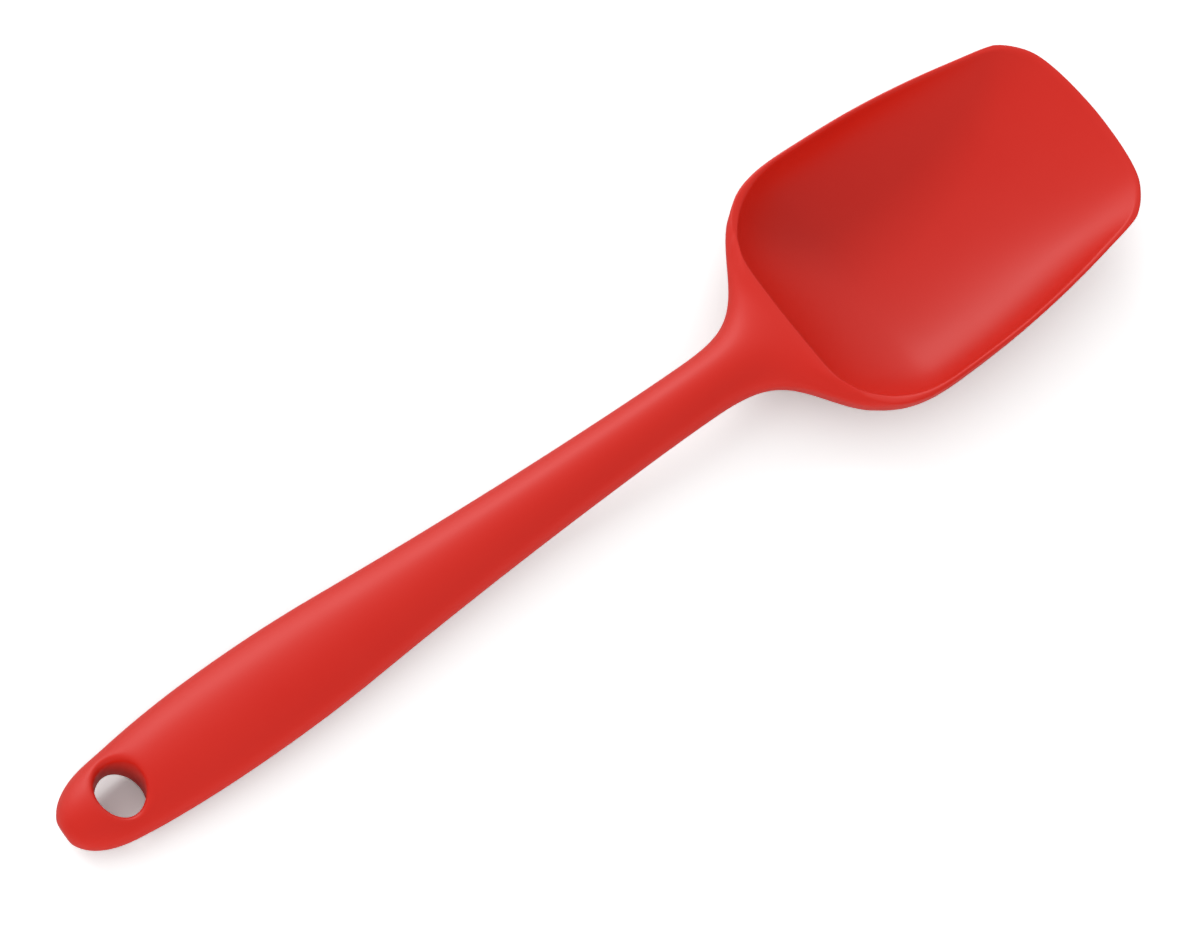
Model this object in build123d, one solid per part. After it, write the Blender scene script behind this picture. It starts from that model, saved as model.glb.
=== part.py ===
from build123d import *
import math
import os

# A one-piece silicone spoon spatula: a deep scooping blade on a tapered handle, moulded over a stiff core.
# Millimetres. The length runs along X with the tip at +X, and the bowl of the blade opens up to +Z.
# The origin is on the table, under the middle of the overall length.

# Overall
overall_length = 270.0

# Handle, with its places measured from the free end
end_length = 16.0
end_width = 20.6
end_thickness = 12.4
end_middle_height = 6.2
grip_place = 48.0
grip_width = 24.1
grip_thickness = 13.8
grip_middle_height = 8.2
neck_place = 160.0
neck_width = 13.5
neck_thickness = 11.2
neck_middle_height = 11.7

# Blade
blade_width = 64.2
blade_length = 83.5
rim_height = 18.5
heel_reach = 21.5
lip_thickness = 1.2
floor_thickness = 3.0

# Hanging hole, an oval lying across the handle; its lean towards the blade is a slope
hole_place = 14.0
hole_length = 10.2
hole_width = 12.1
hole_chamfer = 0.9
hole_lean = 0.12

# Silicone between the hole and the core, and over the rest of the core
hole_lining = 2.0
skin_thickness = 1.3

# Nylon core: rails, cross ribs and a web along the grip, and a holed tongue in the floor of the bowl
rail_width = 2.2
web_thickness = 2.0
cross_rib_thickness = 1.8
pocket_count = 4
tongue_width = 19.0
tongue_length = 52.0
tongue_tip_width = 16.0
tongue_tip_rounding = 7.0
tongue_root_length = 14.0
tongue_root_width = 9.0
tongue_root_top = 11.5
tongue_root_under = 9.2
tongue_hole_diameter = 4.5
tongue_hole_count = 2
tongue_hole_spacing = 14.0

# Stainless steel rod inside the core
rod_diameter = 4.0
rod_start_place = 96.0
rod_end_gap = 9.0

# Extra length given to every cutting body
overrun = 2.0

# Places along X, counted from the free end of the handle
crease_place = overall_length - blade_length
bowl_middle_place = crease_place + heel_reach
tip_reach = overall_length - bowl_middle_place
core_start_place = hole_place + hole_length / 2 + hole_lining
tongue_start_place = crease_place - tongue_root_length
neck_top = neck_middle_height + neck_thickness / 2
neck_under = neck_middle_height - neck_thickness / 2

# Rounded free end: how far along it, then its width and its thickness as shares
end_shares = [(0.0, 0.24, 0.3), (0.07, 0.45, 0.56), (0.24, 0.69, 0.82), (0.5, 0.875, 0.94)]
# Swell from the end to the grip: how far along, then shares of the growth in width, thickness and height
swell_shares = [(0.0, 0.0, 0.0, 0.0), (0.34, 0.64, 0.5, 0.45), (0.68, 0.94, 0.85, 0.79)]
# Taper from the grip to the neck: how far along, then how much of the grip's extra width is left
taper_shares = [(0.0, 1.0), (0.13, 0.93), (0.3, 0.65), (0.5, 0.37), (0.75, 0.12), (1.0, 0.0)]
# Fan from the neck to the crease: how far along, width growth, underside, widest line, rise above the rim
fan_shares = [
    (0.23, 0.0, 1.0, 0.5, 0.0),
    (0.45, 0.033, 0.99, 0.5, 0.0),
    (0.62, 0.1, 0.95, 0.54, 0.0),
    (0.755, 0.22, 0.88, 0.64, 0.0),
    (0.9, 0.455, 0.75, 0.76, 0.0),
    (1.0, 0.625, 0.64, 0.84, 0.0),
]
# Heel from the crease to the middle of the bowl: how far along, width growth, underside, widest line, rise
heel_shares = [
    (0.12, 0.755, 0.54, 0.92, 0.1),
    (0.3, 0.885, 0.37, 0.96, 0.25),
    (0.53, 0.95, 0.2, 0.99, 0.45),
    (0.77, 0.95, 0.08, 1.0, 0.5),
    (1.0, 0.93, 0.03, 1.0, 0.5),
]
# Half of the bowl's outline on the handle side and on the tip side of its widest line
heel_outline_shares = [(1.0, 0.0), (0.995, 0.27), (0.965, 0.548), (0.835, 0.75), (0.6, 0.898), (0.3, 0.982)]
tip_outline_shares = [
    (0.0, 1.0),
    (0.28, 0.978),
    (0.52, 0.923),
    (0.72, 0.85),
    (0.855, 0.785),
    (0.928, 0.67),
    (0.97, 0.52),
    (0.992, 0.28),
    (1.0, 0.0),
]
# Levels of the bowl, as shares of its depth; the last is its flat floor
level_shares = [0.0, 0.142, 0.28, 0.414, 0.538, 0.652, 0.753, 0.839, 0.907, 0.958, 0.985]
# The two faces of the tongue, as shares of the way from the inside of the bowl to its outside
tongue_top_share = 0.28
tongue_under_share = 0.64
# Places of the tongue between the middle of the bowl and its own tip, as shares of that length
tongue_shares = [0.25, 0.5, 0.75, 1.0]

# Fullness of the bowl: 2 is an ellipse, more is squarer
side_fullness = 2.3
heel_fullness = 2.0
tip_fullness = 2.2
hoop_points = 16
core_sides = 8
# The run of sections that is pierced by the hanging hole, which are joined smoothly: the first and the last
smooth_run = (2, 5)


def along(place):
    """The X of a place that is counted from the free end of the handle."""
    return place - overall_length / 2


def between(start, end, share):
    return start + (end - start) * share


def hoop(place, half_width, top, under, widest_height, fullness):
    """A closed section across the handle: a half ellipse above its widest line, a fuller curve below."""
    points = []
    for step in range(hoop_points):
        turn = 2 * math.pi * step / hoop_points
        sideways, upwards = math.cos(turn), math.sin(turn)
        reach = top - widest_height
        if upwards < 0:
            sideways = math.copysign(abs(sideways) ** (2 / fullness), sideways)
            upwards = -(abs(upwards) ** (2 / fullness))
            reach = widest_height - under
        points.append((half_width * sideways, widest_height + reach * upwards))
    across = Plane(origin=(along(place), 0, 0), x_dir=(0, 1, 0), z_dir=(1, 0, 0))
    return across * make_face(Spline(*points, periodic=True))


def core_hoop(place, half_width, half_thickness, middle):
    """A flat-sided section across the core, with its corners on an ellipse."""
    points = []
    for step in range(core_sides):
        turn = 2 * math.pi * (step + 1 / 2) / core_sides
        points.append((half_width * math.cos(turn), middle + half_thickness * math.sin(turn)))
    across = Plane(origin=(along(place), 0, 0), x_dir=(0, 1, 0), z_dir=(1, 0, 0))
    return across * make_face(Polyline(*points, close=True))


def grip_stations():
    """Place, width, thickness and middle height of the handle from its rounded end to the neck."""
    stations = []
    for far, width_growth, thickness_growth, rise in swell_shares:
        width = between(end_width, grip_width, width_growth)
        thickness = between(end_thickness, grip_thickness, thickness_growth)
        middle = between(end_middle_height, grip_middle_height, rise)
        stations.append((between(end_length, grip_place, far), width, thickness, middle))
    for far, extra in taper_shares:
        width = between(neck_width, grip_width, extra)
        thickness = between(grip_thickness, neck_thickness, far)
        middle = between(grip_middle_height, neck_middle_height, far)
        stations.append((between(grip_place, neck_place, far), width, thickness, middle))
    return stations


def handle_sections():
    """Sections of the outside from the free end to the neck."""
    sections = []
    for far, width_share, thickness_share in end_shares:
        reach = end_thickness / 2 * thickness_share
        top, under = end_middle_height + reach, end_middle_height - reach
        place, half_width = end_length * far, end_width / 2 * width_share
        sections.append(hoop(place, half_width, top, under, end_middle_height, 2))
    for place, width, thickness, middle in grip_stations():
        sections.append(hoop(place, width / 2, middle + thickness / 2, middle - thickness / 2, middle, 2))
    return sections


def head_sections():
    """Sections of the fan and the heel, which rise above the rim and are cut level with it later."""
    sections = []
    for far, growth, under_share, widest_share, rise_share in fan_shares:
        half_width = between(neck_width, blade_width, growth) / 2
        top = between(neck_top, rim_height, far) + rim_height * rise_share
        under = neck_under * under_share
        widest = between(under, top, widest_share)
        place = between(neck_place, crease_place, far)
        sections.append(hoop(place, half_width, top, under, widest, between(2, side_fullness, far)))
    for far, growth, under_share, widest_share, rise_share in heel_shares:
        half_width = between(neck_width, blade_width, growth) / 2
        top, under = rim_height * (1 + rise_share), neck_under * under_share
        place = between(crease_place, bowl_middle_place, far)
        sections.append(hoop(place, half_width, top, under, rim_height * widest_share, side_fullness))
    return sections


def bowl_form(wall_share):
    """The bowl as stacked level outlines that grow rounder as they go down: 0 is its inside, 1 its outside."""
    middle = along(bowl_middle_place)
    half_width = blade_width / 2 - lip_thickness * (1 - wall_share)
    heel = heel_reach + lip_thickness * wall_share
    tip = tip_reach - lip_thickness * (1 - wall_share)
    depth = rim_height - floor_thickness * (1 - wall_share)
    levels = []
    for down in level_shares:
        side = half_width * (1 - down**side_fullness) ** (1 / side_fullness)
        back = -heel * (1 - down**heel_fullness) ** (1 / heel_fullness)
        front = tip * (1 - down) ** (1 / tip_fullness)
        points = []
        for reach, outline in ((back, heel_outline_shares), (front, tip_outline_shares)):
            for far, wide in outline:
                wide = between(wide, math.sqrt(1 - far * far), down)
                points.append((middle + reach * far, side * wide))
        points += [(x, -y) for x, y in points[-2:0:-1]]
        height = rim_height - depth * down / level_shares[-1]
        levels.append(Pos(0, 0, height) * make_face(Spline(*points, periodic=True)))
    form = loft(levels, ruled=True)
    return form + extrude(form.faces().sort_by(Axis.Z)[-1], overrun)


def block(start_place, end_place, bottom, top):
    """A block as wide as the blade and more, between two places and two heights."""
    size = (end_place - start_place, blade_width + 2 * overrun, top - bottom)
    return Pos(along((start_place + end_place) / 2), 0, (bottom + top) / 2) * Box(*size)


def hanging_hole():
    """An oval bar through the free end, leaning a little towards the blade."""
    middle = Plane(origin=(along(hole_place), 0, end_middle_height), x_dir=(1, 0, 0), z_dir=(0, 0, 1))
    oval = middle * Ellipse(hole_length / 2, hole_width / 2)
    return extrude(oval, end_thickness, dir=(hole_lean, 0, 1), both=True)


def outer_form():
    """Everything that the silicone reaches: handle, fan and blade, with the bowl and the hole open."""
    sections = handle_sections() + head_sections()
    first, last = smooth_run
    form = loft(sections[: first + 1], ruled=True) + loft(sections[first : last + 1])
    form += loft(sections[last:], ruled=True) + bowl_form(1)
    form -= block(-overrun, overall_length + overrun, rim_height, 2 * rim_height)
    form -= bowl_form(0)
    form -= hanging_hole()
    mouths = form.edges().filter_by(lambda edge: edge.bounding_box().max.X < along(core_start_place))
    mouths = mouths.filter_by(lambda edge: edge.bounding_box().size.Y > hole_width - hole_chamfer)
    mouths = mouths.filter_by(lambda edge: edge.bounding_box().min.X > along(hole_place - hole_length))
    return chamfer(mouths, hole_chamfer)


def pocket_bars():
    """Bars above and below the web that hollow the grip between its rails, parted by the cross ribs."""
    first_place, last_place = core_start_place + rail_width, rod_start_place - cross_rib_thickness
    stations = [station for station in grip_stations() if first_place < station[0] < last_place]
    start_place, end_place = stations[0][0], stations[-1][0]
    bars = []
    for side in (-1, 1):
        sections = []
        for place, width, thickness, middle in stations:
            across = Plane(origin=(along(place), 0, 0), x_dir=(0, 1, 0), z_dir=(1, 0, 0))
            height = middle + side * (web_thickness + thickness) / 2
            opening = Pos(0, height) * Rectangle(width - 2 * (skin_thickness + rail_width), thickness)
            sections.append(across * opening)
        bars.append(loft(sections, ruled=True))
    ribs = []
    pitch = (end_place - start_place) / pocket_count
    for number in range(1, pocket_count):
        middle_place = start_place + pitch * number
        rib_start, rib_end = middle_place - cross_rib_thickness / 2, middle_place + cross_rib_thickness / 2
        ribs.append(block(rib_start, rib_end, -overrun, rim_height + overrun))
    return (bars[0] + bars[1]) - ribs


def core_handle():
    """The flat-sided bar of the core, from behind the hanging hole to the root of the tongue."""
    stations = [station for station in grip_stations() if station[0] > core_start_place]
    stations.append((tongue_start_place + tongue_root_length / 2, neck_width, neck_thickness, neck_middle_height))
    sections = []
    for place, width, thickness, middle in stations:
        sections.append(core_hoop(place, width / 2 - skin_thickness, thickness / 2 - skin_thickness, middle))
    return loft(sections, ruled=True)


def bowl_heights(place):
    """Heights of the inside and the outside of the bowl along its middle, on the tip side."""
    inside_far = (place - bowl_middle_place) / (tip_reach - lip_thickness)
    outside_far = (place - bowl_middle_place) / tip_reach
    inside = between(floor_thickness, rim_height, inside_far**tip_fullness)
    return inside, rim_height * outside_far**tip_fullness


def tongue():
    """The flat leaf of the core: its side view follows the heel and the floor, and its plan narrows to the tip."""
    upper, lower = [], []
    heights = []
    for far, _, under_share, _, _ in heel_shares:
        place = between(crease_place, bowl_middle_place, far)
        down = math.sqrt(1 - (1 - far) ** heel_fullness)
        heights.append((place, between(rim_height, floor_thickness, down), neck_under * under_share))
    for share in tongue_shares:
        place = between(bowl_middle_place, crease_place + tongue_length, share)
        heights.append((place, *bowl_heights(place)))
    for place, inside, outside in heights:
        upper.append((along(place), between(inside, outside, tongue_top_share)))
        lower.append((along(place), between(inside, outside, tongue_under_share)))
    upper.insert(0, (along(tongue_start_place), tongue_root_top))
    lower.insert(0, (along(tongue_start_place), tongue_root_under))
    side = Plane.XZ * make_face(Polyline(*upper, *reversed(lower), close=True))
    plan = [
        (along(tongue_start_place), tongue_root_width / 2),
        (along(crease_place), tongue_width / 2),
        (along(crease_place + tongue_length), tongue_tip_width / 2),
    ]
    plan += [(x, -y) for x, y in reversed(plan)]
    prism = extrude(make_face(Polyline(*plan, close=True)), rim_height)
    tip_edges = prism.edges().filter_by(Axis.Z).sort_by(Axis.X)[-2:]
    return extrude(side, tongue_width, both=True) & fillet(tip_edges, tongue_tip_rounding)


def steel_rod():
    """A straight rod, cut square, from the middle line of the handle to the middle height of the neck."""
    slope = (neck_middle_height - grip_middle_height) / (neck_place - grip_place)
    start_height = grip_middle_height + slope * (rod_start_place - grip_place)
    length = crease_place - rod_end_gap - rod_start_place
    rise = neck_middle_height - start_height
    axis = Plane(origin=(along(rod_start_place), 0, start_height), x_dir=(0, 1, 0), z_dir=(length, 0, rise))
    return axis * Pos(0, 0, length / 2) * Cylinder(rod_diameter / 2, length)


def nylon_core(rod):
    """The stiff core: a ribbed grip, a solid neck round the rod, and a tongue that follows the bowl's floor."""
    core = core_handle() + tongue() - pocket_bars()
    for number in range(tongue_hole_count):
        hole_x = along(bowl_middle_place + number * tongue_hole_spacing)
        core -= Pos(hole_x, 0, 0) * Cylinder(tongue_hole_diameter / 2, rim_height)
    return core - rod


def silicone_skin(core, rod):
    """One seamless moulding: it fills the whole outer form wherever there is no core or rod."""
    return outer_form() - core - rod


os.makedirs("parts", exist_ok=True)
rod = steel_rod()
core = nylon_core(rod)
pieces = {"silicone_skin": silicone_skin(core, rod), "nylon_core": core, "steel_rod": rod}
for name, piece in pieces.items():
    export_step(piece, f"parts/{name}.step")
    print(name, round(piece.volume), "mm3")
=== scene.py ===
"""A one-piece silicone spoon spatula: a scooping blade on a tapered handle, moulded over a stiff core."""

import math

import bmesh
import bpy
from mathutils import Matrix, Vector


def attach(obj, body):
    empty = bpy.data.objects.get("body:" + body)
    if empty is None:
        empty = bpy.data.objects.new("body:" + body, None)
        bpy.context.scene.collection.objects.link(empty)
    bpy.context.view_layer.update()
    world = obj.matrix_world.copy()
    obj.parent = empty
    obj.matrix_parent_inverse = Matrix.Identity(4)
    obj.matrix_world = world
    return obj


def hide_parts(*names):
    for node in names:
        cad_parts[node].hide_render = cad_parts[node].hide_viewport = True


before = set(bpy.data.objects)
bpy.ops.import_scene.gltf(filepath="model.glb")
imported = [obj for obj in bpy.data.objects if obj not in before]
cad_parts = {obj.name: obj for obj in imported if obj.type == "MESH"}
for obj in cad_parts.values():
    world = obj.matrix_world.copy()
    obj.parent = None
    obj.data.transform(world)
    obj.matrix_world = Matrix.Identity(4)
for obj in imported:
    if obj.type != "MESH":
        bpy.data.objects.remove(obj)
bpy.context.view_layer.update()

bl_info = {
    "name": "Silicone spatula",
    "version": (1, 0, 0),
    "blender": (4, 5, 0),
    "location": "3D View > Sidebar > Spatula",
    "description": "Models a silicone spoon spatula over its nylon core and steel rod",
    "category": "Object",
}

MM = 0.001

# ---------------------------------------------------------------------------
# Shape of the moulding, in millimetres. Places count from the free end of the handle.
# ---------------------------------------------------------------------------

OVERALL_LENGTH = 270.0
RIM_HEIGHT = 18.5
WIDEST_PLACE = 208.0
HALF_BLADE = 32.1
HEEL_REACH = 22.7
TIP_REACH = 62.0
# Fullness of the bowl's side view: 1 is a straight slope, 2 an ellipse, more is squarer
SIDE_FULLNESS = 2.3
TIP_FULLNESS = 2.2
HEEL_FULLNESS = 2.0

# Sections across the handle and the heel: place, half width, top, underside, widest line, fullness below it
SECTIONS = (
    (0.0, 2.3, 7.9, 4.5, 6.2, 2.0),
    (0.48, 3.6, 8.9, 3.5, 6.2, 2.0),
    (1.6, 5.3, 10.1, 2.3, 6.2, 2.0),
    (3.84, 7.15, 11.3, 1.1, 6.2, 2.0),
    (8.0, 9.0, 12.03, 0.37, 6.2, 2.0),
    (16.0, 10.3, 12.4, 0.0, 6.2, 2.0),
    (26.88, 11.42, 13.65, 0.55, 7.1, 2.0),
    (37.76, 11.95, 14.57, 0.98, 7.78, 2.0),
    (48.0, 12.05, 15.1, 1.3, 8.2, 2.0),
    (62.56, 11.68, 15.38, 1.92, 8.65, 2.0),
    (81.6, 10.2, 15.76, 2.74, 9.25, 2.0),
    (104.0, 8.71, 16.2, 3.7, 9.95, 2.0),
    (132.0, 7.39, 16.75, 4.9, 10.82, 2.0),
    (160.0, 6.75, 17.3, 6.1, 11.7, 2.0),
    (166.1, 6.78, 17.58, 6.1, 11.84, 2.07),
    (171.9, 7.45, 17.84, 6.04, 11.94, 2.13),
    (176.4, 9.15, 18.04, 5.8, 12.41, 2.19),
    (180.0, 12.33, 18.21, 5.37, 13.59, 2.23),
    (183.85, 18.1, 18.4, 4.58, 15.07, 2.27),
    (186.5, 22.5, 18.8, 3.9, 16.17, 2.3),
    (189.08, 25.7, 20.35, 3.29, 17.02, 2.3),
    (191.2, 27.6, 21.8, 2.7, 17.45, 2.3),
    (193.5, 29.2, 23.3, 2.1, 17.8, 2.3),
    (196.0, 30.5, 25.0, 1.58, 18.1, 2.3),
    (198.6, 31.3, 26.5, 1.08, 18.3, 2.3),
    (201.4, 31.85, 27.5, 0.65, 18.42, 2.3),
    (204.8, 32.05, 28.0, 0.2, 18.5, 2.3),
    (208.0, 32.1, 28.0, 0.0, 18.5, 2.3),
)

# Half of the bowl's outline between its widest line (far 0) and its tip or its heel (far 1): far, wide
TIP_OUTLINE = (
    (0.0, 1.0),
    (0.28, 0.978),
    (0.52, 0.923),
    (0.72, 0.85),
    (0.855, 0.785),
    (0.928, 0.67),
    (0.97, 0.52),
    (0.992, 0.28),
    (1.0, 0.0),
)
HEEL_OUTLINE = (
    (1.0, 0.0),
    (0.995, 0.27),
    (0.965, 0.548),
    (0.835, 0.75),
    (0.6, 0.898),
    (0.3, 0.982),
    (0.0, 1.0),
)

# The outer border of the bowl leaves the handle here
SHOULDER_PLACE = WIDEST_PLACE - HEEL_REACH * HEEL_OUTLINE[3][0]

# Shares of the way across from which the crease widens into the lip, and from which it turns to the shoulder
CREASE_END_SHARE = 0.35
SHOULDER_START_SHARE = 0.6
# The top of the fan comes level with the rim from this share of the way along it
FAN_LEVEL_SHARE = 0.9

# Turns from the tip, in degrees, between which the lip drops at the heel's corners, and how gradually
CORNER_START, CORNER_END, CORNER_FADE = 95, 168, 25
# A point of the bowl belongs to its rim from this reach on
RIM_REACH = 0.999

# Heights of the free end's middle line, and of the hanging hole's mouths above and below it
END_MIDDLE_HEIGHT = 6.2
TOP_MOUTH_HEIGHT = 12.1
LOW_MOUTH_HEIGHT = 0.3
# Faces round the hole follow its oval mouth from its border, at reach 1, and are regular again at this reach
MOUTH_START, MOUTH_END = 0.99, 2.0

# Shares of the way from the middle line out to the rim, closer together where the lip is rounded
ACROSS_SHARES = (0.0, 0.125, 0.25, 0.38, 0.5, 0.59, 0.68, 0.78, 0.88, 0.965, 1.0)
# Shares along the bowl, from its heel (-1) to its tip (1), and the number of rows before the widest line
ALONG_SHARES = (
    (-1.0, -0.955, -0.82, -0.66, -0.5, -0.33, -0.165)
    + (0.0, 0.09, 0.18, 0.27, 0.36, 0.45, 0.54, 0.63, 0.71, 0.79, 0.87, 0.925, 0.972, 1.0)
)
HEEL_ROWS = 7
# Places of the rings round the handle, outside the hanging hole
END_PLACES = (0.0, 0.25, 0.9, 2.0, 3.6, 5.4)
HANDLE_PLACES = (24.0, 29.0, 35.0, 42.0, 50.0, 58.0, 67.0, 77.0, 87.0, 97.0, 107.0, 117.0)
HANDLE_PLACES += (127.0, 137.0, 147.0, 156.0)
FAN_SHARES = (0.0, 0.13, 0.25, 0.36, 0.46, 0.55, 0.63, 0.705, 0.775, 0.84, 0.9, 0.955, 1.0)
HOLE_ROWS = 6

# Rows down the hole's wall. Counted from the nearer mouth, how far each lies below the mouth and out from the
# wall, as shares of the mouth's rounding. The first is halfway round it.
HOLE_WALL_ROWS = 6
HOLE_WALL_STEPS = {1: (0.29, 0.29), 2: (1.0, 0.0), 3: (0.0, 0.0)}

SUBDIVISION = 2
DOUBLES_DISTANCE = 0.0005


def steady(value):
    """A sine or a cosine, kept from passing 1 by rounding."""
    return max(-1.0, min(1.0, value))


def between(start, end, share):
    """The value at a share of the way from start to end."""
    return start + (end - start) * share


def ease(share):
    """A share that starts and ends gently, and stays between 0 and 1."""
    share = max(0.0, min(1.0, share))
    return share * share * (3 - 2 * share)


def smooth_table(rows, where):
    """The columns of a table at any place in its first column, on a smooth curve through the rows."""
    last = len(rows) - 2
    step = next((i for i in range(last) if where < rows[i + 1][0]), last)
    before, low, high, after = (rows[max(0, min(last + 1, step + n))] for n in (-1, 0, 1, 2))
    run = high[0] - low[0]
    share = (where - low[0]) / run
    found = []
    for column in range(1, len(low)):
        rise = (high[column] - low[column]) / run
        slopes = []
        for one, two in ((before, low), (high, after)):
            if one is two:
                slopes.append(rise)
                continue
            reach = two[0] - one[0]
            other = (two[column] - one[column]) / reach
            weight = run / (run + reach)
            slopes.append(other * weight + rise * (1 - weight))
        square, cube = share * share, share**3
        level = low[column] * (2 * cube - 3 * square + 1) + high[column] * (3 * square - 2 * cube)
        bend = slopes[0] * run * (cube - 2 * square + share) + slopes[1] * run * (cube - square)
        found.append(level + bend)
    return found


# By the square root of the place, a smooth curve also fits the round end
ROOT_SECTIONS = tuple((math.sqrt(row[0]),) + row[1:] for row in SECTIONS)
TIP_STEPS = tuple((float(step),) + row for step, row in enumerate(TIP_OUTLINE))
HEEL_STEPS = tuple((float(step),) + row for step, row in enumerate(HEEL_OUTLINE))


def section(place):
    """Half width, top, underside, widest line and fullness of the outside at a place along the handle."""
    return smooth_table(ROOT_SECTIONS, math.sqrt(max(0.0, place)))


def skin_point(place, turn):
    """A point on the outside of the handle and the heel.

    The turn is 0 at the widest line and a quarter turn at the top.
    """
    half_width, top, under, widest, fullness = section(place)
    sideways, upwards = math.cos(turn), math.sin(turn)
    if upwards >= 0:
        return Vector((place, half_width * sideways, widest + (top - widest) * upwards))
    sideways = math.copysign(abs(sideways) ** (2 / fullness), sideways)
    upwards = abs(upwards) ** (2 / fullness)
    return Vector((place, half_width * sideways, widest - (widest - under) * upwards))


def rim_turn(place):
    """The turn at which the outside of the heel comes up to the rim."""
    _, top, _, widest, _ = section(place)
    return math.asin(steady((RIM_HEIGHT - widest) / (top - widest)))


def across_share(step):
    """A signed share from the step of a column: from the far rim, over the middle, to the near rim."""
    cells = len(ACROSS_SHARES) - 1
    step -= cells
    return math.copysign(ACROSS_SHARES[abs(step)], step)


def disc_direction(along_share, side_share):
    """A square grid drawn to a disc: the reach from its middle, and the turn from its far end."""
    ahead = along_share * math.sqrt(1 - side_share * side_share / 2)
    aside = side_share * math.sqrt(1 - along_share * along_share / 2)
    return min(1.0, math.hypot(ahead, aside)), math.atan2(aside, ahead)


def outline_step(turn):
    """Far and wide shares of the bowl's outline in a direction, and whether it is on the tip's side."""
    quarter = abs(turn) / (math.pi / 2)
    if quarter <= 1:
        far, wide = smooth_table(TIP_STEPS, (len(TIP_STEPS) - 1) * (1 - quarter))
        return far, wide, True
    far, wide = smooth_table(HEEL_STEPS, (len(HEEL_STEPS) - 1) * (2 - quarter))
    return far, wide, False


def bowl_point(reach, turn, half_width, heel, tip, depth, heel_fullness=HEEL_FULLNESS):
    """A point on a bowl whose level outlines grow rounder as they go down."""
    far, wide, on_tip = outline_step(turn)
    down = max(0.0, math.cos(reach * math.pi / 2)) ** (2 / SIDE_FULLNESS)
    side = half_width * max(0.0, 1 - down**SIDE_FULLNESS) ** (1 / SIDE_FULLNESS)
    if on_tip:
        ahead = tip * max(0.0, 1 - down) ** (1 / TIP_FULLNESS)
    else:
        ahead = -heel * max(0.0, 1 - down**heel_fullness) ** (1 / heel_fullness)
    wide = between(wide, math.sqrt(max(0.0, 1 - far * far)), down)
    aside = math.copysign(side * wide, turn)
    return Vector((WIDEST_PLACE + ahead * far, aside, RIM_HEIGHT - depth * down))


# ---------------------------------------------------------------------------
# Sizes and colours that a user would change
# ---------------------------------------------------------------------------


class MouldingSettings(bpy.types.PropertyGroup):
    """Sizes of the silicone moulding"""

    lip_thickness: bpy.props.FloatProperty(
        name="Lip thickness",
        description="Width of the lip round the bowl, in millimetres",
        default=1.2,
        min=0.6,
        max=3.0,
    )
    floor_thickness: bpy.props.FloatProperty(
        name="Floor thickness",
        description="Thickness of the blade at the bottom of the bowl, in millimetres",
        default=3.0,
        min=1.5,
        max=6.0,
    )
    crease_width: bpy.props.FloatProperty(
        name="Crease width",
        description="Width of the rounded crease where the handle falls into the bowl, in millimetres",
        default=0.35,
        min=0.1,
        max=2.0,
    )
    corner_drop: bpy.props.FloatProperty(
        name="Corner drop",
        description="How far the lip slopes into the bowl at the two corners of the heel, in millimetres",
        default=0.25,
        min=0.0,
        max=2.0,
    )
    heel_fullness: bpy.props.FloatProperty(
        name="Heel fullness",
        description="Slope from the crease into the bowl, where 1 is straight and 2 a quarter of an ellipse",
        default=1.45,
        min=1.0,
        max=3.0,
    )
    hole_place: bpy.props.FloatProperty(
        name="Hole place",
        description="Distance of the hanging hole from the free end, in millimetres",
        default=14.0,
    )
    hole_length: bpy.props.FloatProperty(
        name="Hole length",
        description="Hanging hole along the handle, in millimetres",
        default=10.2,
    )
    hole_width: bpy.props.FloatProperty(
        name="Hole width",
        description="Hanging hole across the handle, in millimetres",
        default=12.1,
    )
    hole_rounding: bpy.props.FloatProperty(
        name="Hole rounding",
        description="Radius of the rounded mouth of the hanging hole, in millimetres",
        default=1.4,
    )
    hole_lean: bpy.props.FloatProperty(
        name="Hole lean",
        description="Slope of the hanging hole towards the blade",
        default=0.12,
    )


class FinishSettings(bpy.types.PropertyGroup):
    """Colours of the materials"""

    silicone: bpy.props.StringProperty(
        name="Silicone",
        description="Colour of the silicone, as sRGB hex",
        default="#E41F0E",
    )
    silicone_bounce: bpy.props.StringProperty(
        name="Silicone, bounced light",
        description="Colour of the light that the silicone throws on to other surfaces, as sRGB hex",
        default="#995955",
    )
    silicone_light: bpy.props.StringProperty(
        name="Silicone, faint bloom",
        description="Colour of the silicone where its surface carries a faint pale bloom, as sRGB hex",
        default="#E62615",
    )
    nylon: bpy.props.StringProperty(
        name="Nylon",
        description="Colour of the moulded nylon core, as sRGB hex",
        default="#1B1B1D",
    )
    nylon_fibre: bpy.props.StringProperty(
        name="Nylon, glass fibre",
        description="Colour of the glass fibre that shows at the surface of the core, as sRGB hex",
        default="#3A3A3C",
    )
    steel: bpy.props.StringProperty(
        name="Steel",
        description="Colour of the drawn steel rod, as sRGB hex",
        default="#B9B8B5",
    )
    floor: bpy.props.StringProperty(
        name="Floor",
        description="Colour of the floor, as sRGB hex",
        default="#D6D6D5",
    )


class LightSettings(bpy.types.PropertyGroup):
    """Strengths of the studio light"""

    key_power: bpy.props.FloatProperty(
        name="Key light",
        description="Power of the large soft light beyond the blade",
        default=6.6,
        unit="POWER",
    )
    fill_power: bpy.props.FloatProperty(
        name="Fill light",
        description="Power of the weak, low light from the near side of the handle",
        default=6.0,
        unit="POWER",
    )
    world_strength: bpy.props.FloatProperty(
        name="World",
        description="Strength of the even light from all round",
        default=0.63,
    )
    far_reflection: bpy.props.FloatProperty(
        name="Far reflection",
        description="Strength of the studio's far side in reflections",
        default=1.85,
    )
    floor_white: bpy.props.FloatProperty(
        name="Floor white",
        description="How white the camera sees the floor, where 1 is white in even light",
        default=1.65,
    )


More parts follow.
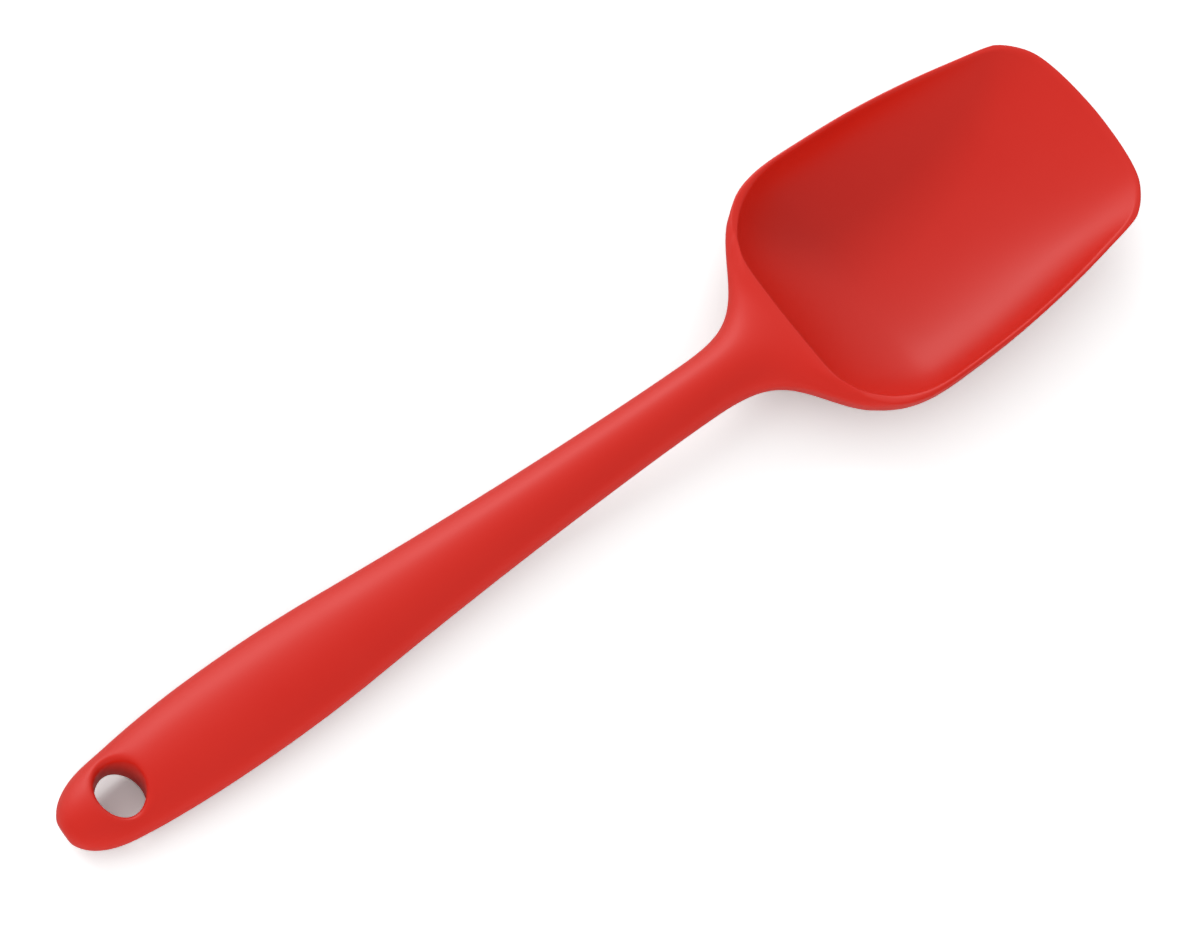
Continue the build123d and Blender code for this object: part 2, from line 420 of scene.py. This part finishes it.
# ---------------------------------------------------------------------------
# Helpers for pieces and finishes
# ---------------------------------------------------------------------------


def linear(hex_colour):
    """An sRGB hex colour as linear red, green, blue and alpha."""
    colour = []
    for digit in (1, 3, 5):
        level = int(hex_colour[digit : digit + 2], 16) / 255
        colour.append(level / 12.92 if level <= 0.04045 else ((level + 0.055) / 1.055) ** 2.4)
    return colour + [1.0]


def lay_patch(shape, rows, columns, place):
    """Adds a grid of faces, and puts the vertex of each row and column where place says, in millimetres.

    It gives back the row and column of each vertex.
    """
    spots = {}
    for vert in bmesh.ops.create_grid(shape, x_segments=rows, y_segments=columns, size=1)["verts"]:
        spots[vert] = (round((vert.co.x + 1) / 2 * rows), round((vert.co.y + 1) / 2 * columns))
        vert.co = place(*spots[vert])
    return spots


def finish_piece(name, shape, material, subdivision):
    """Makes an object of a shape in millimetres from the free end, moved to the frame of the CAD."""
    bmesh.ops.translate(shape, verts=shape.verts, vec=(-OVERALL_LENGTH / 2, 0, 0))
    bmesh.ops.scale(shape, verts=shape.verts, vec=(MM, MM, MM))
    bmesh.ops.recalc_face_normals(shape, faces=shape.faces)
    mesh = bpy.data.meshes.new(name)
    shape.to_mesh(mesh)
    shape.free()
    mesh.shade_smooth()
    mesh.materials.append(material)
    piece = bpy.data.objects.new(name, mesh)
    bpy.context.scene.collection.objects.link(piece)
    rounding = piece.modifiers.new("Rounding", "SUBSURF")
    rounding.levels = rounding.render_levels = subdivision
    return piece


def new_material(name):
    """An empty material, and its node tree."""
    material = bpy.data.materials.new(name)
    material.use_nodes = True
    material.node_tree.nodes.clear()
    return material, material.node_tree


def add_node(tree, kind, settings=None, links=None, values=None):
    """Adds a node, sets its properties and socket values, and links its inputs to other nodes' outputs."""
    node = tree.nodes.new(kind)
    for name, value in (settings or {}).items():
        setattr(node, name, value)
    for socket, value in (values or {}).items():
        node.inputs[socket].default_value = value
    for socket, source in (links or {}).items():
        tree.links.new(source, node.inputs[socket])
    return node


# ---------------------------------------------------------------------------
# Finishes
# ---------------------------------------------------------------------------


def moulded_silicone(finish):
    """Food-grade silicone rubber from a fine-blasted mould: satin, deep red, with soft broad highlights."""
    material, tree = new_material("moulded silicone rubber, satin red")
    place = add_node(tree, "ShaderNodeTexCoord").outputs["Object"]
    # A faint bloom, patches of about 18 mm, as silicone shows after it is handled
    bloom = add_node(
        tree,
        "ShaderNodeTexNoise",
        {"noise_dimensions": "3D"},
        {"Vector": place},
        {"Scale": 1 / (18 * MM), "Detail": 3},
    )
    colour = add_node(
        tree,
        "ShaderNodeMix",
        {"data_type": "RGBA"},
        {"Factor": bloom.outputs["Fac"]},
        {"A": linear(finish.silicone), "B": linear(finish.silicone_light)},
    )
    # A weaker, paler bounce keeps the shadow on the paper grey
    ray = add_node(tree, "ShaderNodeLightPath")
    body = add_node(
        tree,
        "ShaderNodeMix",
        {"data_type": "RGBA"},
        {"Factor": ray.outputs["Is Diffuse Ray"], "A": colour.outputs["Result"]},
        {"B": linear(finish.silicone_bounce)},
    )
    # Blasting grain of the mould: about 0.1 mm, drawn at 0.35 mm so that it shows close up
    grain = add_node(
        tree,
        "ShaderNodeTexNoise",
        {"noise_dimensions": "3D"},
        {"Vector": place},
        {"Scale": 1 / (0.35 * MM), "Detail": 2},
    )
    satin = add_node(
        tree, "ShaderNodeMapRange", {}, {"Value": bloom.outputs["Fac"]}, {"To Min": 0.4, "To Max": 0.48}
    )
    relief = add_node(
        tree,
        "ShaderNodeBump",
        {},
        {"Height": grain.outputs["Fac"]},
        {"Strength": 0.25, "Distance": 0.02 * MM},
    )
    shader = add_node(
        tree,
        "ShaderNodeBsdfPrincipled",
        {},
        {
            "Base Color": body.outputs["Result"],
            "Roughness": satin.outputs["Result"],
            "Normal": relief.outputs["Normal"],
        },
        {"IOR": 1.42, "Specular IOR Level": 0.62},
    )
    add_node(tree, "ShaderNodeOutputMaterial", {}, {"Surface": shader.outputs["BSDF"]})
    return material


def moulded_nylon(finish):
    """Glass-filled nylon from the mould: near black, matt, with a fine speckle of fibre at the surface."""
    material, tree = new_material("glass-filled nylon, moulded black")
    place = add_node(tree, "ShaderNodeTexCoord").outputs["Object"]
    # Speckle of the fibre's ends and clusters, about 0.4 mm
    speckle = add_node(
        tree,
        "ShaderNodeTexNoise",
        {"noise_dimensions": "3D"},
        {"Vector": place},
        {"Scale": 1 / (0.4 * MM), "Detail": 4},
    )
    ramp = add_node(tree, "ShaderNodeValToRGB", {}, {"Fac": speckle.outputs["Fac"]})
    stops = ((0.45, finish.nylon), (0.8, finish.nylon_fibre))
    for stop, (position, colour) in zip(ramp.color_ramp.elements, stops):
        stop.position = position
        stop.color = linear(colour)
    relief = add_node(
        tree,
        "ShaderNodeBump",
        {},
        {"Height": speckle.outputs["Fac"]},
        {"Strength": 0.3, "Distance": 0.03 * MM},
    )
    satin = add_node(
        tree, "ShaderNodeMapRange", {}, {"Value": speckle.outputs["Fac"]}, {"To Min": 0.5, "To Max": 0.7}
    )
    shader = add_node(
        tree,
        "ShaderNodeBsdfPrincipled",
        {},
        {
            "Base Color": ramp.outputs["Color"],
            "Roughness": satin.outputs["Result"],
            "Normal": relief.outputs["Normal"],
        },
        {"IOR": 1.53},
    )
    add_node(tree, "ShaderNodeOutputMaterial", {}, {"Surface": shader.outputs["BSDF"]})
    return material


def drawn_steel(finish):
    """Stainless steel drawn through a die: bright, with fine lines along the rod."""
    material, tree = new_material("stainless steel, drawn")
    place = add_node(tree, "ShaderNodeTexCoord").outputs["Object"]
    # Die lines: 0.12 mm apart round the rod and about 25 mm long
    stretch = add_node(
        tree,
        "ShaderNodeMapping",
        {},
        {"Vector": place},
        {"Scale": (1 / (25 * MM), 1 / (0.12 * MM), 1 / (0.12 * MM))},
    )
    lines = add_node(
        tree,
        "ShaderNodeTexNoise",
        {"noise_dimensions": "3D"},
        {"Vector": stretch.outputs["Vector"]},
        {"Scale": 1, "Detail": 2},
    )
    satin = add_node(
        tree, "ShaderNodeMapRange", {}, {"Value": lines.outputs["Fac"]}, {"To Min": 0.22, "To Max": 0.38}
    )
    relief = add_node(
        tree, "ShaderNodeBump", {}, {"Height": lines.outputs["Fac"]}, {"Strength": 0.2, "Distance": 0.01 * MM}
    )
    shader = add_node(
        tree,
        "ShaderNodeBsdfPrincipled",
        {},
        {"Roughness": satin.outputs["Result"], "Normal": relief.outputs["Normal"]},
        {"Base Color": linear(finish.steel), "Metallic": 1.0},
    )
    add_node(tree, "ShaderNodeOutputMaterial", {}, {"Surface": shader.outputs["BSDF"]})
    return material


def studio_paper(finish, white):
    """White background paper: the camera sees it white, and it keeps the soft shadow."""
    material, tree = new_material("studio paper, matt white")
    place = add_node(tree, "ShaderNodeTexCoord").outputs["Object"]
    # Mottle of the paper's fibre, about 6 mm
    fibre = add_node(
        tree,
        "ShaderNodeTexNoise",
        {"noise_dimensions": "3D"},
        {"Vector": place},
        {"Scale": 1 / (6 * MM), "Detail": 2},
    )
    relief = add_node(
        tree,
        "ShaderNodeBump",
        {},
        {"Height": fibre.outputs["Fac"]},
        {"Strength": 0.05, "Distance": 0.02 * MM},
    )
    seen = add_node(tree, "ShaderNodeLightPath")
    tone = add_node(
        tree,
        "ShaderNodeMix",
        {"data_type": "RGBA"},
        {"Factor": seen.outputs["Is Camera Ray"]},
        {"A": linear(finish.floor), "B": (white, white, white, 1)},
    )
    paper = add_node(
        tree,
        "ShaderNodeBsdfDiffuse",
        {},
        {"Color": tone.outputs["Result"], "Normal": relief.outputs["Normal"]},
    )
    add_node(tree, "ShaderNodeOutputMaterial", {}, {"Surface": paper.outputs["BSDF"]})
    return material


# ---------------------------------------------------------------------------
# The moulding
# ---------------------------------------------------------------------------


class Moulding:
    """The outside, the bowl and the hanging hole of the silicone, as patches that share their borders."""

    def __init__(self, sizes):
        """Works out the rings of the handle for the sizes."""
        self.sizes = sizes
        self.cells = len(ACROSS_SHARES) - 1
        rounding = sizes.hole_rounding
        self.hole_reach = sizes.hole_length / 2 + rounding
        self.hole_side = sizes.hole_width / 2 + rounding
        first, last = sizes.hole_place - self.hole_reach, sizes.hole_place + self.hole_reach
        hole_places = [between(first, last, row / HOLE_ROWS) for row in range(HOLE_ROWS + 1)]
        self.hole_first_row = len(END_PLACES)
        self.places = [*END_PLACES, *hole_places, *HANDLE_PLACES]

    # The handle ------------------------------------------------------------

    def ring_turn(self, column):
        """The plain turn of a column: a quarter turn is the top, three quarters the underside."""
        quarter, step = divmod(column, self.cells)
        share = ACROSS_SHARES[step] if quarter % 2 else 1 - ACROSS_SHARES[self.cells - step]
        return (quarter + share) * math.pi / 2

    def mouth_shift(self, place, turn):
        """How far a point moves along and round the handle, so that the faces fit the hole's mouth."""
        top = turn <= math.pi
        middle = math.pi / 2 if top else 3 * math.pi / 2
        ahead = (place - self.sizes.hole_place) / self.hole_reach
        aside = (turn - middle) / (math.pi / 4)
        reach = max(abs(ahead), abs(aside))
        if not MOUTH_START <= reach <= MOUTH_END:
            return 0.0, 0.0
        ahead, aside = ahead / reach, aside / reach
        mouth = self.mouth(ahead, aside, top)
        fade = 1 - ease(reach - 1)
        base_place = self.sizes.hole_place + self.hole_reach * ahead
        base_turn = middle + aside * math.pi / 4
        return (mouth[0] - base_place) * fade, (mouth[1] - base_turn) * fade

    def hole_middle(self, height):
        """The place of the leaning hole's middle at a height."""
        return self.sizes.hole_place + self.sizes.hole_lean * (height - END_MIDDLE_HEIGHT)

    def mouth(self, ahead, aside, top):
        """Place and turn of the oval mouth, for a point on the border of the square block round the hole."""
        angle = disc_direction(ahead, aside)[1]
        middle = self.hole_middle(TOP_MOUTH_HEIGHT if top else LOW_MOUTH_HEIGHT)
        place = middle + self.hole_reach * math.cos(angle)
        side = self.hole_side * math.sin(angle)
        half_width = section(place)[0]
        turn = math.acos(steady(side / half_width))
        return place, (math.pi if top else 2 * math.pi) - turn

    def handle_point(self, row, column):
        """A point on the outside of the handle."""
        place, turn = self.places[row], self.ring_turn(column)
        shift = self.mouth_shift(place, turn)
        return skin_point(place + shift[0], turn + shift[1])

    def build_handle(self, shape):
        """The handle as a tube of rings, with the blocks of faces over the hole's two mouths taken out."""
        spots = lay_patch(shape, len(self.places) - 1, 4 * self.cells, self.handle_point)
        half = ACROSS_SHARES.index(0.5)
        block = []
        for face in shape.faces:
            row = min(spots[vert][0] for vert in face.verts) - self.hole_first_row
            column = min(spots[vert][1] for vert in face.verts)
            near = any(-half <= column - middle < half for middle in (self.cells, 3 * self.cells))
            if near and 0 <= row < HOLE_ROWS:
                block.append(face)
        bmesh.ops.delete(shape, geom=block, context="FACES")

    # The fan ---------------------------------------------------------------

    def heel_rim(self, side_share):
        """Place and side of the crease and the shoulder, the heel's outer border, at a share across it."""
        sizes = self.sizes
        inner = self.inner_point(-1.0, side_share)
        widened = ease((abs(side_share) - CREASE_END_SHARE) / (1 - CREASE_END_SHARE))
        place = inner.x - between(sizes.crease_width, sizes.lip_thickness, widened)
        turned = ease((abs(side_share) - SHOULDER_START_SHARE) / (1 - SHOULDER_START_SHARE))
        shoulder = skin_point(SHOULDER_PLACE, rim_turn(SHOULDER_PLACE))
        corner = self.inner_point(-1.0, 1.0)
        stretch = between(1.0, shoulder.y / corner.y, side_share * side_share)
        return between(place, SHOULDER_PLACE, turned), abs(inner.y) * stretch

    def fan_point(self, row, column):
        """A point on the fan, from the last ring of the handle to the crease, the shoulders and the heel."""
        share = FAN_SHARES[row]
        plain = self.ring_turn(column)
        upper = column <= 2 * self.cells
        if upper:
            side_share = across_share(2 * self.cells - column)
            end_place, end_side = self.heel_rim(side_share)
            half_width = section(end_place)[0]
            end_turn = math.acos(steady(math.copysign(end_side, side_share) / half_width))
        else:
            side_share = across_share(column - 2 * self.cells)
            end_place = SHOULDER_PLACE
            end_turn = plain + rim_turn(SHOULDER_PLACE) * side_share
        start = self.places[-1]
        place = between(start, end_place, share)
        turn = between(plain, end_turn, share**3)
        point = skin_point(place, turn)
        if upper and abs(side_share) < 1:
            levelled = ease((share - FAN_LEVEL_SHARE) / (1 - FAN_LEVEL_SHARE))
            point.z = between(point.z, RIM_HEIGHT, levelled)
        return point

    # The blade -------------------------------------------------------------

    def outer_point(self, row, column):
        """A point on the outside of the blade, from the shoulders to the tip."""
        along_share, side_share = ALONG_SHARES[row], across_share(column)
        if row < HEEL_ROWS:
            turn = disc_direction(along_share, 1.0)[1]
            place = WIDEST_PLACE - HEEL_REACH * outline_step(turn)[0]
            swing = -(1 - abs(side_share)) * math.pi / 2 + rim_turn(place) * abs(side_share)
            point = skin_point(place, swing)
            point.y = math.copysign(point.y, side_share)
            return point
        reach, turn = disc_direction(along_share, side_share)
        return bowl_point(reach, turn, HALF_BLADE, HEEL_REACH, TIP_REACH, RIM_HEIGHT)

    def inner_point(self, along_share, side_share):
        """A point inside the bowl, whose edge drops a little at the heel's corners."""
        sizes = self.sizes
        reach, turn = disc_direction(along_share, side_share)
        point = bowl_point(
            reach,
            turn,
            HALF_BLADE - sizes.lip_thickness,
            HEEL_REACH - sizes.lip_thickness,
            TIP_REACH - sizes.lip_thickness,
            RIM_HEIGHT - sizes.floor_thickness,
            sizes.heel_fullness,
        )
        if reach > RIM_REACH:
            degrees = math.degrees(abs(turn))
            rise = ease((degrees - CORNER_START) / CORNER_FADE)
            fall = ease((CORNER_END - degrees) / CORNER_FADE)
            point.z -= sizes.corner_drop * rise * fall
        return point


def build_moulding(sizes):
    """The whole silicone moulding as one closed mesh in millimetres."""
    form = Moulding(sizes)
    cells = form.cells
    columns = 4 * cells
    shape = bmesh.new()
    form.build_handle(shape)

    # The flat of the free end
    def cap_point(row, column):
        """A point on the end's border, or its middle."""
        return form.handle_point(0, column) if row else Vector((0, 0, END_MIDDLE_HEIGHT))

    lay_patch(shape, 1, columns, cap_point)

    # The hole's wall, from one rounded mouth to the other
    border = hole_border()
    lay_patch(
        shape,
        HOLE_WALL_ROWS,
        len(border) - 1,
        lambda row, column: hole_wall_point(form, border[column], row),
    )

    # The fan, the outside of the blade, the inside of the bowl, and the lip between them
    lay_patch(shape, len(FAN_SHARES) - 1, columns, form.fan_point)
    lay_patch(shape, len(ALONG_SHARES) - 1, 2 * cells, form.outer_point)
    lay_patch(
        shape,
        len(ALONG_SHARES) - 1,
        2 * cells,
        lambda row, column: form.inner_point(ALONG_SHARES[row], across_share(column)),
    )
    rim = rim_loop(form)
    lay_patch(shape, 1, len(rim) - 1, lambda row, column: rim[column][row])
    bmesh.ops.remove_doubles(shape, verts=shape.verts, dist=DOUBLES_DISTANCE)
    return shape


def hole_border():
    """The border of the square block round the hole, as ahead and aside shares, once round and closed."""
    across = [-2 * share for share in reversed(ACROSS_SHARES) if share <= 0.5]
    across += [2 * share for share in ACROSS_SHARES if 0 < share <= 0.5]
    ahead = [between(-1.0, 1.0, row / HOLE_ROWS) for row in range(HOLE_ROWS + 1)]
    border = [(1.0, aside) for aside in across[:-1]]
    border += [(step, 1.0) for step in reversed(ahead[1:])]
    border += [(-1.0, aside) for aside in reversed(across[1:])]
    border += [(step, -1.0) for step in ahead[:-1]]
    return border + border[:1]


def hole_wall_point(form, spot, row):
    """A point on the wall of the hanging hole, below a spot of its border: row 0 is at the top."""
    sizes = form.sizes
    ahead, aside = spot
    top = skin_point(*form.mouth(ahead, aside, True))
    low = skin_point(*form.mouth(ahead, -aside, False))
    if row == 0:
        return top
    if row == HOLE_WALL_ROWS:
        return low
    rounding = sizes.hole_rounding
    drop, tuck = HOLE_WALL_STEPS[min(row, HOLE_WALL_ROWS - row)]
    if 2 * row == HOLE_WALL_ROWS:
        height = (top.z + low.z) / 2
    elif 2 * row < HOLE_WALL_ROWS:
        height = top.z - rounding * drop
    else:
        height = low.z + rounding * drop
    angle = disc_direction(ahead, aside)[1]
    reach = sizes.hole_length / 2 + rounding * tuck
    side = sizes.hole_width / 2 + rounding * tuck
    return Vector((form.hole_middle(height) + reach * math.cos(angle), -side * math.sin(angle), height))


def rim_loop(form):
    """Pairs of points on the outer and inner border of the rim, once round and closed."""
    columns = 2 * form.cells
    last_row, last_fan_row = len(ALONG_SHARES) - 1, len(FAN_SHARES) - 1
    pairs = []
    for column in range(columns):
        share = across_share(columns - column)
        pairs.append((form.fan_point(last_fan_row, column), form.inner_point(-1.0, share)))
    for row in range(last_row):
        pairs.append((form.outer_point(row, 0), form.inner_point(ALONG_SHARES[row], -1.0)))
    for column in range(columns):
        pairs.append((form.outer_point(last_row, column), form.inner_point(1.0, across_share(column))))
    for row in range(last_row, 0, -1):
        pairs.append((form.outer_point(row, columns), form.inner_point(ALONG_SHARES[row], 1.0)))
    return pairs + pairs[:1]


# ---------------------------------------------------------------------------
# Operators
# ---------------------------------------------------------------------------


class SPATULA_OT_moulding(bpy.types.Operator):
    """Model the silicone moulding: handle, blade, bowl and hanging hole"""

    bl_idname = "spatula.moulding"
    bl_label = "Silicone moulding"

    def execute(self, context):
        """Runs the operator."""
        shape = build_moulding(context.scene.spatula_moulding)
        material = moulded_silicone(context.scene.spatula_finish)
        piece = finish_piece("silicone_moulding", shape, material, SUBDIVISION)
        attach(piece, "root")
        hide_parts("silicone_skin")
        return {"FINISHED"}


class SPATULA_OT_core(bpy.types.Operator):
    """Give the nylon core its moulded finish"""

    bl_idname = "spatula.core"
    bl_label = "Nylon core"

    def execute(self, context):
        """Runs the operator."""
        dress_node("nylon_core", moulded_nylon(context.scene.spatula_finish))
        return {"FINISHED"}


class SPATULA_OT_rod(bpy.types.Operator):
    """Give the steel rod its drawn finish"""

    bl_idname = "spatula.rod"
    bl_label = "Steel rod"

    def execute(self, context):
        """Runs the operator."""
        dress_node("steel_rod", drawn_steel(context.scene.spatula_finish))
        return {"FINISHED"}


def dress_node(name, material):
    """Puts a material in every slot of a node of the CAD."""
    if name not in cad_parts:
        raise RuntimeError(f"the frame has no node {name}")
    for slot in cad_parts[name].material_slots:
        slot.material = material


# The camera stands above the free end, on the near side, and looks down towards the blade. In metres
CAMERA_PLACE = (-0.18835, -0.26206, 0.90708)
CAMERA_RIGHT = (0.80896038, -0.58786317, 0.0)
CAMERA_UP = (0.55299038, 0.76097182, 0.33929859)
CAMERA_AHEAD = (0.19946115, 0.27447912, -0.94067873)
CAMERA_LENS = 134.905
CAMERA_SENSOR = 36.0
CAMERA_NEAR = 0.01

# The lamps, in metres: place, then width and height
KEY_PLACE, KEY_SIZE = (0.15, 1.25, 0.82), (1.4, 0.35)
FILL_PLACE, FILL_SIZE = (-0.9, -1.05, 0.55), (0.9, 0.9)
FLOOR_HALF_WIDTH = 3.0
# The side on which reflections see the studio bright
FAR_SIDE = (0.3, 0.95, 0.0)


def area_light(name, place, size, power):
    """A soft light of a width and a height, that faces the middle of the spatula."""
    light = bpy.data.lights.new(name, "AREA")
    light.shape = "RECTANGLE"
    light.size, light.size_y = size
    light.energy = power
    lamp = bpy.data.objects.new(name, light)
    lamp.location = place
    lamp.rotation_euler = (-Vector(place)).to_track_quat("-Z", "Y").to_euler()
    bpy.context.scene.collection.objects.link(lamp)
    return lamp


class SPATULA_OT_stage(bpy.types.Operator):
    """Set up the floor, the soft lights, the world and the camera"""

    bl_idname = "spatula.stage"
    bl_label = "Stage"

    def execute(self, context):
        """Runs the operator."""
        scene = context.scene
        lights = scene.spatula_lights
        shape = bmesh.new()
        bmesh.ops.create_grid(shape, x_segments=1, y_segments=1, size=FLOOR_HALF_WIDTH)
        mesh = bpy.data.meshes.new("floor")
        shape.to_mesh(mesh)
        shape.free()
        mesh.materials.append(studio_paper(scene.spatula_finish, lights.floor_white))
        floor = bpy.data.objects.new("floor", mesh)
        scene.collection.objects.link(floor)

        area_light("key", KEY_PLACE, KEY_SIZE, lights.key_power)
        area_light("fill", FILL_PLACE, FILL_SIZE, lights.fill_power).visible_glossy = False

        world = bpy.data.worlds.new("studio")
        world.use_nodes = True
        tree = world.node_tree
        tree.nodes.clear()
        # Reflections see a studio that is dark on the camera's side and bright on the far side
        facing = add_node(tree, "ShaderNodeTexCoord").outputs["Generated"]
        across = add_node(
            tree, "ShaderNodeVectorMath", {"operation": "DOT_PRODUCT"}, {0: facing}, {1: FAR_SIDE}
        )
        bright = add_node(
            tree,
            "ShaderNodeMapRange",
            {},
            {"Value": across.outputs["Value"]},
            {"From Min": 0.0, "From Max": 1.0, "To Min": 0.0, "To Max": lights.far_reflection},
        )
        ray = add_node(tree, "ShaderNodeLightPath")
        strength = add_node(
            tree,
            "ShaderNodeMix",
            {},
            {"Factor": ray.outputs["Is Glossy Ray"], "B": bright.outputs["Result"]},
            {"A": lights.world_strength},
        )
        sky = add_node(
            tree,
            "ShaderNodeBackground",
            {},
            {"Strength": strength.outputs["Result"]},
            {"Color": (1, 1, 1, 1)},
        )
        add_node(tree, "ShaderNodeOutputWorld", {}, {"Surface": sky.outputs["Background"]})
        scene.world = world
        scene.view_settings.view_transform = "Standard"

        camera = bpy.data.cameras.new("camera")
        camera.lens = CAMERA_LENS
        camera.sensor_width = CAMERA_SENSOR
        camera.sensor_fit = "HORIZONTAL"
        camera.clip_start = CAMERA_NEAR
        viewer = bpy.data.objects.new("camera", camera)
        axes = Matrix((CAMERA_RIGHT, CAMERA_UP, [-part for part in CAMERA_AHEAD])).transposed()
        viewer.matrix_world = Matrix.Translation(CAMERA_PLACE) @ axes.to_4x4()
        scene.collection.objects.link(viewer)
        scene.camera = viewer
        return {"FINISHED"}


class SPATULA_PT_panel(bpy.types.Panel):
    """Lists the spatula's pieces and its stage"""

    bl_label = "Silicone spatula"
    bl_idname = "SPATULA_PT_panel"
    bl_space_type = "VIEW_3D"
    bl_region_type = "UI"
    bl_category = "Spatula"

    def draw(self, context):
        """Lists the settings, then the operators."""
        layout = self.layout
        for settings, group in SETTINGS.items():
            box = layout.box()
            for name in group.__annotations__:
                box.prop(getattr(context.scene, settings), name)
        for operator in OPERATORS:
            layout.operator(operator.bl_idname)


SETTINGS = {
    "spatula_moulding": MouldingSettings,
    "spatula_finish": FinishSettings,
    "spatula_lights": LightSettings,
}
OPERATORS = (SPATULA_OT_moulding, SPATULA_OT_core, SPATULA_OT_rod, SPATULA_OT_stage)


def register():
    """Registers the settings, the operators and the panel."""
    for name, group in SETTINGS.items():
        bpy.utils.register_class(group)
        setattr(bpy.types.Scene, name, bpy.props.PointerProperty(type=group))
    for operator in OPERATORS:
        bpy.utils.register_class(operator)
    bpy.utils.register_class(SPATULA_PT_panel)


def unregister():
    """Takes back what register did."""
    bpy.utils.unregister_class(SPATULA_PT_panel)
    for operator in reversed(OPERATORS):
        bpy.utils.unregister_class(operator)
    for name, group in SETTINGS.items():
        delattr(bpy.types.Scene, name)
        bpy.utils.unregister_class(group)


def main():
    """Builds the pieces and the stage."""
    register()
    bpy.ops.spatula.moulding()
    bpy.ops.spatula.core()
    bpy.ops.spatula.rod()
    bpy.ops.spatula.stage()


if __name__ == "__main__":
    main()
